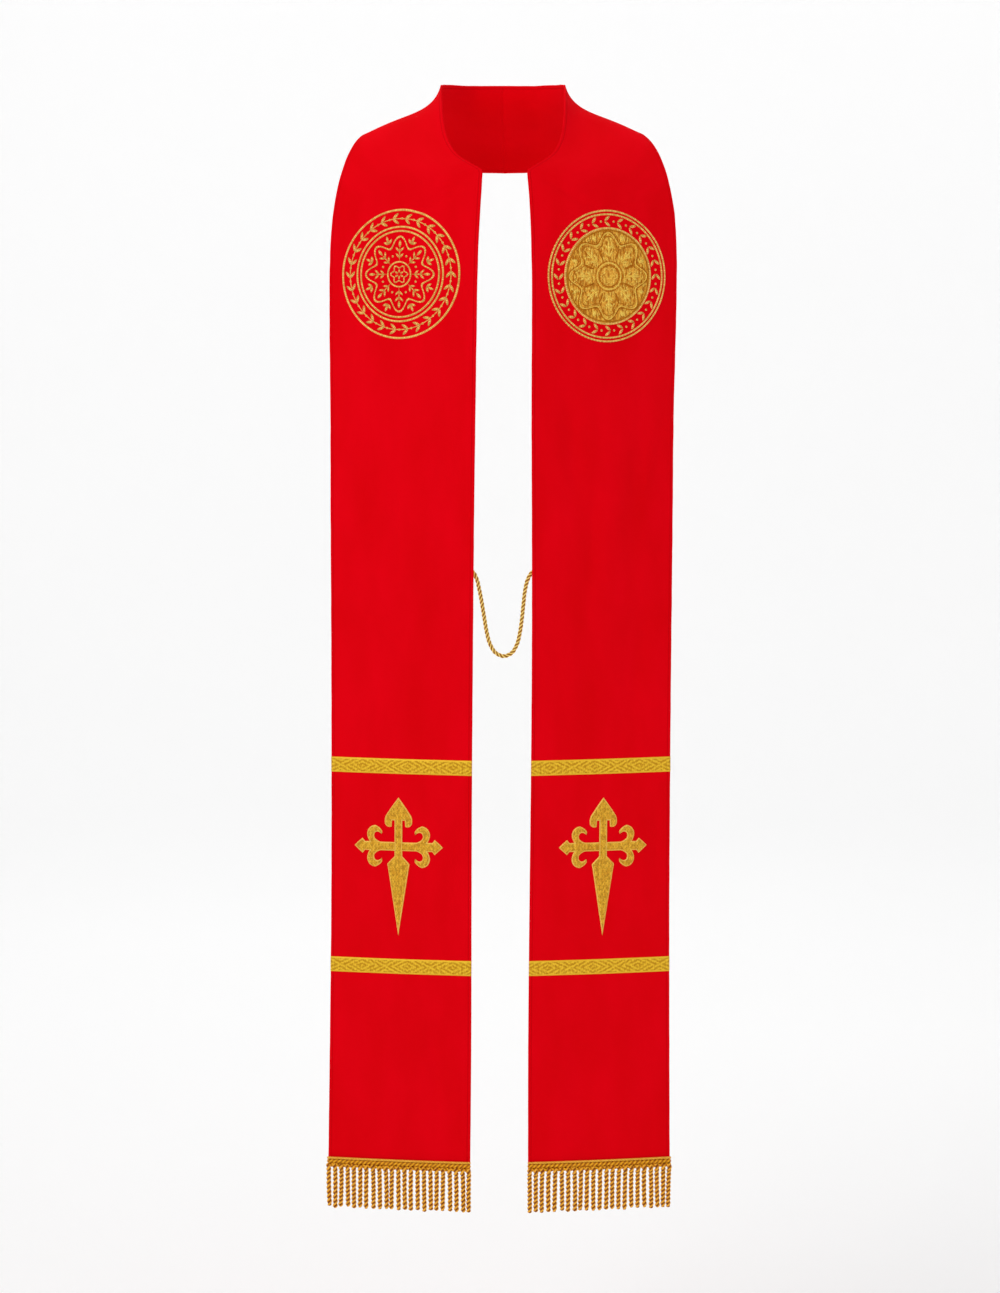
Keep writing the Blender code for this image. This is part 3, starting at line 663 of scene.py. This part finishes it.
def lay(bm, band, along, share, low):
    """Closes a flat design into a body: its underside low, its top at each point's height."""
    mark = bm.verts.layers.int.new("mark")
    height = bm.verts.layers.float["height"]
    flat = bm.verts[:]
    tops = band.lifted(along, share, np.array([v[height] for v in flat]))
    for k, v in enumerate(flat):
        v[mark] = k
    grown = bmesh.ops.extrude_face_region(bm, geom=bm.faces[:], use_keep_orig=True)
    grown = [v for v in grown["geom"] if isinstance(v, bmesh.types.BMVert)]
    move_to(flat, band.lifted(along, share, low))
    move_to(grown, tops[[v[mark] for v in grown]])


def lay_design(bm, band, level, share):
    """Lays a flat design on the band, centred on a place; its x runs outwards and its y down."""
    width = band.width(band.along_at(np.array([level]), 0.5))[0]
    flat = np.array([v.co for v in bm.verts])
    here = share + flat[:, 0] / width
    lay(bm, band, band.along_at(level - flat[:, 1], here), here, -SUNK)


def set_uv(bm, faces, uv_of, name="stitch"):
    """Gives each corner of some faces its place on a pattern, in millimetres."""
    layer = bm.loops.layers.uv[name]
    for face in faces:
        for loop in face.loops:
            u, v = uv_of(loop.vert)
            loop[layer].uv = (u * MM, v * MM)


def add_band(name, band):
    """One half of the stole, with rounded edges and its creases."""
    rows = round(band.length / BAND_STEP)
    bm = new_bmesh()
    bm.loops.layers.uv.new("cloth")
    bm.loops.layers.uv.new("edge")
    bmesh.ops.create_grid(bm, x_segments=BAND_COLUMNS, y_segments=rows, size=1.0)
    flat = np.array([v.co for v in bm.verts])
    across = (flat[:, 0] + 1) / 2
    share = across - TOWARDS_EDGES * np.sin(2 * np.pi * across) / (2 * np.pi)
    along = (flat[:, 1] + 1) / 2 * band.length
    width = band.width(along)
    bm.verts.index_update()
    set_uv(bm, bm.faces, lambda v: (share[v.index] * width[v.index], along[v.index]), "cloth")
    to_edge = np.minimum(share, 1 - share) * width
    set_uv(bm, bm.faces, lambda v: (to_edge[v.index], 0.0), "edge")
    lay(bm, band, along, share, -CLOTH)
    made = make_piece(name, bm, [RED])
    rounded = made.modifiers.new("rounded edges", "BEVEL")
    rounded.width = EDGE_ROUND * MM
    rounded.segments = 3
    rounded.limit_method = "ANGLE"
    rounded.angle_limit = math.radians(50)
    return made


def add_galloon(name, band, level):
    """A woven braid across the whole width, its selvedges lower than its middle."""
    middle = band.along_at(np.array([level]), 0.5)[0]
    width = band.width(middle)
    bm = new_bmesh()
    bmesh.ops.create_grid(bm, x_segments=64, y_segments=10, size=1.0)
    flat = np.array([v.co for v in bm.verts])
    height = bm.verts.layers.float["height"]
    for v in bm.verts:
        v[height] = GALLOON_EDGE + GALLOON_RISE * (1 - abs(v.co.y) ** 6) * (1 - abs(v.co.x) ** 60)
    set_uv(bm, bm.faces, lambda v: (v.co.x * width / 2 + FIGURE_START, v.co.y * GALLOON_TALL / 2))
    lay(bm, band, middle + flat[:, 1] * GALLOON_TALL / 2, (flat[:, 0] + 1) / 2, -SUNK)
    return make_piece(name, bm, [GALLOON])


def petal_radius(radius, petals, depth, angle):
    return radius + depth * math.cos(petals * angle) if petals else radius


def draw_ring(bm, radius, wide, petals=0, depth=0.0, high=EMBROIDERY, steps=RING_STEPS):
    """A ring of padded satin stitch, half round in section."""
    height = bm.verts.layers.float["height"]
    before = set(bm.faces)
    inside = None
    for part in (-1.0, -0.6, 0.0, 0.6, 1.0):
        loop = bmesh.ops.create_circle(bm, segments=steps, radius=1.0)["verts"]
        for v in loop:
            angle = math.atan2(v.co.y, v.co.x)
            v.co *= petal_radius(radius, petals, depth, angle) + part * wide / 2
            v[height] = high * (0.25 + 0.75 * math.sqrt(1 - min(1.0, part * part)))
        edges = list({e for v in loop for e in v.link_edges})
        if inside:
            bmesh.ops.bridge_loops(bm, edges=inside + edges)
        inside = edges
    around = [f for f in bm.faces if f not in before]
    set_uv(bm, around, lambda v: (v.co.length, math.atan2(v.co.y, v.co.x) * radius))


def way_at(angle):
    return Vector((math.cos(angle), math.sin(angle)))


def draw_leaf(bm, centre, angle, long, wide, high=EMBROIDERY, rim=EMBROIDERY / 4):
    """A leaf or petal of satin stitch, pointed at both ends and raised along its middle."""
    height = bm.verts.layers.float["height"]
    made = bmesh.ops.create_circle(bm, segments=12, radius=1.0, cap_ends=True, cap_tris=True)["verts"]
    turn = Matrix.Rotation(angle, 3, "Z")
    faces = list({f for v in made for f in v.link_faces})
    for v in made:
        v[height] = high if v.co.length < 0.5 else rim
        v.co.y *= (1 - v.co.x**2) ** 0.35
        v.co.x *= long / 2
        v.co.y *= wide / 2
    set_uv(bm, faces, lambda v: (v.co.y, v.co.x))
    for v in made:
        v.co = turn @ v.co + centre.to_3d()


def draw_leaves(bm, leaves, rays=8, first=0.0):
    """The same leaves on each of some rays, the first ray a share of the way to the next."""
    for k in range(rays):
        angle = math.tau * (k + first) / rays
        for leaf in leaves:
            leaning = angle + leaf.lean
            centre = way_at(angle) * leaf.root + way_at(leaning) * leaf.long / 2
            draw_leaf(bm, centre, leaning, leaf.long, leaf.wide, leaf.high, leaf.rim)


def add_medallion_piece(name, band, draw, material):
    """One embroidered part of a medallion, drawn flat and laid on the cloth."""
    bm = new_bmesh()
    draw(bm)
    lay_design(bm, band, MEDALLION_LEVELS[band.side], MEDALLION_SHARE)
    return make_piece(name, bm, [material])


def add_rings(band, word):
    for ring in RINGS[band.side]:
        name = f"medallion_{word}_{ring.name}"
        made = add_medallion_piece(f"stitched_{name}", band, lambda bm: draw_ring(bm, *ring[1:]), SATIN)
        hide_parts(name)


def draw_wreath(bm, band):
    """Pairs of leaves on a ring, leaning the same way round, with a bud between them."""
    wreath = WREATHS[band.side]
    for k in range(wreath.count):
        angle = math.tau * k / wreath.count
        for side in (1, -1):
            centre = way_at(angle) * (wreath.radius + side * WREATH_APART)
            draw_leaf(bm, centre, angle + math.pi / 2 + side * wreath.lean, wreath.long, WREATH_LEAF)
        bud = angle + math.tau / wreath.count / 2
        draw_leaf(bm, way_at(bud) * wreath.radius, bud, WREATH_BUD, WREATH_BUD)


def add_right_medallion(band):
    """Line embroidery: a wreath of leaves, then an eight-petal flower with sprigs and seeds."""

    def wreath(bm):
        draw_ring(bm, WREATHS[band.side].radius, 1.0, high=0.6)
        draw_wreath(bm, band)

    def flower(bm):
        draw_leaves(bm, FLOWER_SPRIG)
        draw_leaves(bm, FLOWER_TUFT, first=0.5)
        draw_ring(bm, 13.2, 1.7, steps=72)
        draw_ring(bm, 8.2, 1.6, petals=6, depth=1.6, steps=72)
        draw_leaves(bm, FLOWER_SEED, rays=6, first=0.5)

    add_medallion_piece("stitched_medallion_right_wreath", band, wreath, SATIN)
    add_medallion_piece("stitched_medallion_right_flower", band, flower, SATIN)


def add_left_medallion(band):
    """Filled embroidery: a ground of close stitches under an eight-petal star, in a leaf wreath."""

    def fill(bm, radius, petals, depth, height_of, uv_turn):
        height = bm.verts.layers.float["height"]
        inside = None
        for part in (0.1, 0.25, 0.4, 0.55, 0.7, 0.85, 0.95, 1.0):
            loop = bmesh.ops.create_circle(bm, segments=96, radius=1.0, cap_ends=part == 0.1)["verts"]
            for v in loop:
                angle = math.atan2(v.co.y, v.co.x)
                v.co *= part * petal_radius(radius, petals, depth * part, angle)
                v[height] = height_of(part, angle)
            edges = list({e for v in loop for e in v.link_edges if all(w in loop for w in e.verts)})
            if inside:
                bmesh.ops.bridge_loops(bm, edges=inside + edges)
            inside = edges
        set_uv(bm, bm.faces, lambda v: (v.co.y, v.co.x) if uv_turn else (v.co.x, v.co.y))

    def ground(bm):
        fill(bm, 49.6, 0, 0.0, lambda part, angle: GROUND_HIGH - 0.3 * part**8, True)

    def star_height(part, angle):
        fullness = 0.72 + 0.28 * math.cos(STAR_PETALS * angle) * part
        return GROUND_HIGH + STAR_RISE * (1 - part**6) * fullness

    def star(bm):
        fill(bm, STAR_RADIUS, STAR_PETALS, STAR_DEPTH, star_height, False)

    def outlines(bm):
        draw_ring(bm, STAR_RADIUS, 1.7, STAR_PETALS, STAR_DEPTH, high=1.45)
        draw_ring(bm, 14.0, 1.7, high=1.75, steps=72)
        draw_ring(bm, 8.0, 1.6, petals=6, depth=1.5, high=1.75, steps=72)
        draw_leaves(bm, STAR_VEINS, STAR_PETALS)
        draw_leaves(bm, STAR_POINT, STAR_PETALS, first=0.5)

    def shades(bm):
        draw_ring(bm, STAR_RADIUS + 1.9, 1.5, STAR_PETALS, STAR_DEPTH, high=1.15)
        draw_ring(bm, STAR_RADIUS - 3.6, 1.1, STAR_PETALS, STAR_DEPTH, high=1.5)
        draw_ring(bm, 48.0, 1.4, high=0.85)
        draw_ring(bm, 16.0, 1.4, high=1.6, steps=72)
        draw_ring(bm, 11.4, 2.0, high=1.6, steps=72)
        draw_leaves(bm, STAR_GROOVE, STAR_PETALS, first=0.5)

    def flecks(bm, seed):
        """Short upright stitches strewn over the fill, each lying on what is under it."""
        chance = random.Random(seed)
        for _ in range(FLECKS):
            angle = chance.uniform(0.0, math.tau)
            out = FLECKS_REACH * math.sqrt(chance.uniform(0.1, 1.0))
            part = out / petal_radius(STAR_RADIUS, STAR_PETALS, STAR_DEPTH, angle)
            under = star_height(part, angle) if part < 1 else GROUND_HIGH
            tilt = math.pi / 2 + chance.uniform(-0.25, 0.25)
            long, wide = chance.uniform(4.0, 8.0), chance.uniform(1.2, 2.0)
            draw_leaf(bm, way_at(angle) * out, tilt, long, wide, high=under + 0.35, rim=under - 0.1)

    raised = add_medallion_piece("stitched_medallion_left_star", band, star, STAR_FILL)
    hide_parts("medallion_left_star")
    for name, draw, material in (
        ("ground", ground, GROUND),
        ("outlines", outlines, BRIGHT),
        ("shades", shades, SHADE),
        ("light_flecks", lambda bm: flecks(bm, 3), BRIGHT),
        ("dark_flecks", lambda bm: flecks(bm, 8), SHADE),
        ("wreath", lambda bm: draw_wreath(bm, band), SATIN),
    ):
        add_medallion_piece(f"stitched_medallion_left_{name}", band, draw, material)


def bowed(start, end, bow):
    """The points of an arc from start, without its end."""
    points = [Vector((start.across, start.down))]
    if bow:
        a, b = points[0], Vector((end.across, end.down))
        side = Vector((b.y - a.y, a.x - b.x)).normalized()
        for i in range(1, ARC_PIECES):
            t = i / ARC_PIECES
            points.append(a.lerp(b, t) + side * bow * 4 * t * (1 - t))
    return points


def cross_outline():
    """The whole outline of the sword cross, clockwise from its head."""
    tip = Turn(CROSS_TIP, 0.0, 0.0)
    bows = [t.bow for t in CROSS_ARM[-2::-1]] + [0.0]
    under = [Turn(t.across, -t.down, bow) for t, bow in zip(CROSS_ARM[::-1], bows)]
    turns = CROSS_HEAD + CROSS_ARM + [tip] + under + CROSS_BLADE
    half = []
    for start, end in zip(turns, turns[1:]):
        half += bowed(start, end, start.bow)
    foot = Vector((turns[-1].across, turns[-1].down))
    other = [Vector((-p.x, p.y)) for p in half[:0:-1]]
    return half + [foot] + other


def add_cross(name, band):
    """The sword cross: fill stitch inside a satin outline, its stem lying over its arms."""
    bm = new_bmesh()
    height = bm.verts.layers.float["height"]
    shape = bm.faces.new([bm.verts.new((p.x, p.y, 0.0)) for p in cross_outline()])
    shape.normal_update()
    outer = set(bm.verts)
    evenly = {"thickness": OUTLINE, "use_boundary": True, "use_even_offset": True}
    for face in bmesh.ops.inset_region(bm, faces=[shape], **evenly)["faces"]:
        face.material_index = 1
    for v in bm.verts:
        v[height] = RIM_HIGH if v in outer else FILL_HIGH
    for axis in (0, 1):
        values = [v.co[axis] for v in bm.verts]
        first = math.ceil(min(values) / CROSS_CELL)
        last = math.floor(max(values) / CROSS_CELL)
        for k in range(first, last + 1):
            place, way = Vector(), Vector()
            place[axis], way[axis] = (k + CELL_START) * CROSS_CELL, 1.0
            geometry = bm.verts[:] + bm.edges[:] + bm.faces[:]
            bmesh.ops.bisect_plane(bm, geom=geometry, plane_co=place, plane_no=way)
    set_uv(bm, bm.faces, lambda v: (v.co.y, v.co.x))
    for side in (-1, 1):
        line = bmesh.ops.create_grid(bm, x_segments=2, y_segments=14, size=1.0)["verts"]
        faces = {f for v in line for f in v.link_faces}
        for v in line:
            v[height] = STEM_HIGH[abs(v.co.x) < 0.5]
            down = (v.co.y + 1) / 2
            v.co.x = side * STEM_OUT + v.co.x * STEM_LINE / 2
            v.co.y = STEM_TOP + STEM_LONG * down
        for face in faces:
            face.material_index = 1
        set_uv(bm, faces, lambda v: (v.co.x, v.co.y))
    lay_design(bm, band, CROSS_LEVEL, CROSS_SHARE)
    made = make_piece(f"stitched_{name}", bm, [FILL, RIM])
    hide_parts(name)
    return made


def rope_ways(path):
    """Two ways across a path at each of its points, which turn only as the path does."""
    ahead = unit(np.gradient(path, axis=0))
    across = np.zeros_like(path)
    start = np.cross(ahead[0], (0.3, 1.0, 0.2))
    across[0] = start / np.linalg.norm(start)
    for k in range(1, len(path)):
        turned = across[k - 1] - ahead[k] * np.dot(across[k - 1], ahead[k])
        across[k] = turned / np.linalg.norm(turned)
    return across, np.cross(ahead, across)


def lobes(angle, plies):
    """How far the outline of twisted plies is from their middle, as a share of the radius."""
    off, ply = (0.36, 0.64) if plies == 2 else (0.5, 0.5)
    part = np.mod(angle, math.tau / plies)
    part = np.minimum(part, math.tau / plies - part)
    under = np.maximum(ply**2 - (off * np.sin(part)) ** 2, 0.0)
    return off * np.cos(part) + np.sqrt(under)


def draw_rope(bm, path, radius, plies, pitch, hand=1, start=0.0, around=16):
    """A twisted rope: a lobed ring drawn along a path, turning as it goes, and closed at its ends."""
    path = np.asarray(path, dtype=float)
    rings = len(path) - 1
    steps = distances(path)
    across, third = rope_ways(path)
    made = bmesh.ops.create_grid(bm, x_segments=around, y_segments=rings, size=1.0)["verts"]
    flat = np.array([v.co for v in made])
    column = np.rint((flat[:, 0] + 1) / 2 * around)
    row = np.rint((flat[:, 1] + 1) / 2 * rings).astype(int)
    angle = math.tau * column / around
    turned = angle - hand * math.tau * steps[row] / pitch - start
    from_end = np.minimum(steps[row], steps[-1] - steps[row]) / radius
    closing = np.sqrt(1 - (1 - np.clip(from_end, 0.0, 1.0)) ** 2)
    reach = (radius * lobes(turned, plies) * closing)[:, None]
    ways = across[row] * np.cos(angle)[:, None] + third[row] * np.sin(angle)[:, None]
    plies_passed = turned * plies / math.tau
    places = {v: (p / MM, steps[r]) for v, p, r in zip(made, plies_passed, row)}
    set_uv(bm, {f for v in made for f in v.link_faces}, places.get)
    move_to(made, path[row] + ways * reach)
    bmesh.ops.remove_doubles(bm, verts=made, dist=1e-4)


def add_fringe(name, band, seed):
    """A braided heading of three twisted cords over the hem, and bullion loops hanging from it."""
    chance = random.Random(seed)
    bm = new_bmesh()
    hem = band.length
    cloth = band.width(hem)
    width = cloth + 2 * HEADING_SPARE
    share = (np.linspace(0.0, width, 200) - HEADING_SPARE) / cloth
    for rope in HEADING_ROPES:
        along = np.full(share.shape, hem - rope.up)
        path = band.lifted(along, share, HEADING_LIFT)
        before = set(bm.faces)
        draw_rope(bm, path, rope.radius, 2, rope.pitch, hand=rope.hand, around=12)
        for face in set(bm.faces) - before:
            face.material_index = rope.finish
    strand = width / STRANDS * STRAND_SHARE
    gap = (width - strand * STRANDS) / (STRANDS - 1)
    out = Vector(band.normal(np.array([hem]), np.array([0.5]))[0])
    for k in range(STRANDS):
        middle = (k * (strand + gap) + strand / 2 - HEADING_SPARE) / cloth
        drift = Vector([chance.uniform(*reach) for reach in STRAND_DRIFT] + [0.0])
        drift.x += band.side * END_LEANS.get(k, 0.0)
        root = (np.array([hem - STRAND_ROOT]), np.array([middle]))
        top = Vector(band.lifted(*root, STRAND_LIFT)[0])
        foot = Vector((top.x, top.y, FRINGE_BOTTOM + chance.uniform(0.0, STRAND_SHORT))) + drift
        sway = chance.uniform(-STRAND_SWAY, STRAND_SWAY)
        path = []
        for i in range(STRAND_STEPS + 1):
            t = i / STRAND_STEPS
            over = math.sin(math.pi * min(1.0, t / LOOP_SHARE)) * LOOP_OUT
            aside = Vector((sway * math.sin(math.pi * t), 0.0, 0.0))
            path.append(top.lerp(foot, t) + aside + out * over)
        turn = chance.uniform(0.0, math.tau)
        draw_rope(bm, path, STRAND_RADIUS, 2, chance.uniform(*STRAND_TURN), start=turn, around=14)
    made = make_piece(f"bullion_{name}", bm, [BULLION, HEADING, EDGE_CORD])
    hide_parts(name)
    return made


def add_link_cord(name):
    """Three plies of gold cord twisted together, hanging from the inner edges."""
    route = np.array(CORD_ROUTE)
    knots = distances(route)
    path = curve_through(knots, route, np.linspace(0.0, knots[-1], 300))
    bm = new_bmesh()
    draw_rope(bm, path, CORD_DIAMETER / 2 * CORD_FULLNESS, 3, CORD_TURN, around=18)
    made = make_piece(f"twisted_{name}", bm, [CORD_GOLD])
    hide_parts(name)


def add_studio():
    """A round floor that sweeps up into a wall all round."""
    bm = bmesh.new()
    flat = ROOM_RADIUS - COVE_RADIUS
    profile = [(0.0, FLOOR_LEVEL), (flat / 2, FLOOR_LEVEL)]
    for k in range(COVE_STEPS + 1):
        angle = math.pi / 2 * k / COVE_STEPS
        level = FLOOR_LEVEL + COVE_RADIUS * (1 - math.cos(angle))
        profile.append((flat + COVE_RADIUS * math.sin(angle), level))
    profile.append((ROOM_RADIUS, ROOM_TOP))
    line = [bm.verts.new(Vector((out, 0.0, level)) * MM) for out, level in profile]
    edges = [bm.edges.new(pair) for pair in zip(line, line[1:])]
    bmesh.ops.spin(bm, geom=line + edges, axis=(0, 0, 1), angle=math.tau, steps=96, use_merge=True)
    bmesh.ops.remove_doubles(bm, verts=bm.verts, dist=1e-5)
    place_mesh("studio_sweep", bm, [studio_white()])


def add_lamps():
    for lamp in LAMPS:
        light = bpy.data.lights.new(lamp.name, "AREA")
        light.shape = "DISK"
        light.size = lamp.size
        light.energy = lamp.power
        holder = place_in_scene(lamp.name, light)
        holder.location = lamp.place
        ahead = Vector(lamp.aim) - Vector(lamp.place)
        holder.rotation_euler = ahead.to_track_quat("-Z", "Y").to_euler()
    world = bpy.data.worlds.new("soft studio")
    world.use_nodes = True
    sky = {"Color": "#FFFFFF", "Strength": SKY_STRENGTH}
    feed(world.node_tree, world.node_tree.nodes["Background"], sky)
    bpy.context.scene.world = world


def add_camera():
    data = bpy.data.cameras.new("camera")
    data.lens = CAMERA_LENS
    data.sensor_width = 36.0
    data.sensor_fit = "AUTO"
    camera = place_in_scene("camera", data)
    camera.location = Vector(CAMERA_PLACE) * MM
    camera.rotation_euler = (math.pi / 2 - CAMERA_DOWN, 0.0, 0.0)
    bpy.context.scene.camera = camera


def build():
    add_camera()
    add_link_cord("link_cord")
    for side, word in ((-1, "right"), (1, "left")):
        band = Band(side)
        cloth = add_band(f"cloth_band_{word}", band)
        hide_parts(f"band_{word}")
        for place, level in GALLOON_LEVELS.items():
            name = f"galloon_{word}_{place}"
            add_galloon(f"woven_{name}", band, level)
            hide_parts(name)
        add_rings(band, word)
        cross = add_cross(f"cross_{word}", band)
        fringe = add_fringe(f"fringe_{word}", band, seed=7 + side)
        if side < 0:
            add_right_medallion(band)
        else:
            add_left_medallion(band)
    add_studio()
    add_lamps()
    bpy.context.scene.view_settings.view_transform = "Standard"


build()
